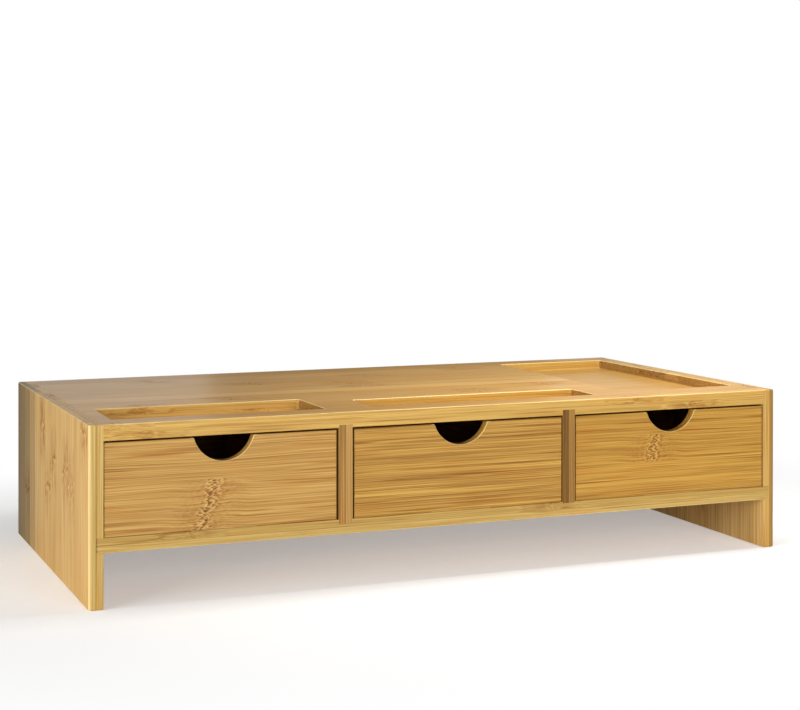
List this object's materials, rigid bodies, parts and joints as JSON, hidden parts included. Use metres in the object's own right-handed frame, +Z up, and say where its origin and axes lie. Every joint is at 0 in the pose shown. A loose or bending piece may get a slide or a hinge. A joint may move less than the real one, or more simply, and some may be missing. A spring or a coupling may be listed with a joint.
{
  "type": "monitor stand",
  "caption": "Bamboo desk riser that carries a monitor over a keyboard bay, with drawers that have finger notches and a top routed with a pen slot, a centre slot and a corner tray.",
  "frame": {"origin": "on the desk, in the middle of the footprint under the stand", "axes": "+X along the width, to the right of someone who faces the drawers; drawers face -Y and open that way; +Z up"},
  "size_m": [0.53, 0.255, 0.12],
  "materials": {
    "side_bamboo": "satin lacquer",
    "top_bamboo": "satin lacquer",
    "shelf_bamboo": "satin lacquer",
    "divider_bamboo": "satin lacquer",
    "front_bamboo": "satin lacquer",
    "box_bamboo": "thin matt lacquer",
    "dowel_beech": "bare"
  },
  "bodies": {
    "stand": {"left_side_panel": "side_bamboo", "right_side_panel": "side_bamboo", "top_board": "top_bamboo", "drawer_shelf": "shelf_bamboo", "left_divider": "divider_bamboo", "right_divider": "divider_bamboo", "back_panel": "box_bamboo", "top_dowels": "dowel_beech", "back_dowels": "dowel_beech"},
    "left_drawer": {"left_drawer_front": "front_bamboo", "left_drawer_left_side": "box_bamboo", "left_drawer_right_side": "box_bamboo", "left_drawer_back": "box_bamboo", "left_drawer_bottom": "box_bamboo"},
    "middle_drawer": {"middle_drawer_front": "front_bamboo", "middle_drawer_left_side": "box_bamboo", "middle_drawer_right_side": "box_bamboo", "middle_drawer_back": "box_bamboo", "middle_drawer_bottom": "box_bamboo"},
    "right_drawer": {"right_drawer_front": "front_bamboo", "right_drawer_left_side": "box_bamboo", "right_drawer_right_side": "box_bamboo", "right_drawer_back": "box_bamboo", "right_drawer_bottom": "box_bamboo"}
  },
  "joints": [
    {"name": "left_drawer_slide", "type": "slide", "parent": "stand", "child": "left_drawer", "axis": [0, -1, 0], "range_m": [0, 0.185]},
    {"name": "middle_drawer_slide", "type": "slide", "parent": "stand", "child": "middle_drawer", "axis": [0, -1, 0], "range_m": [0, 0.185]},
    {"name": "right_drawer_slide", "type": "slide", "parent": "stand", "child": "right_drawer", "axis": [0, -1, 0], "range_m": [0, 0.185]}
  ]
}
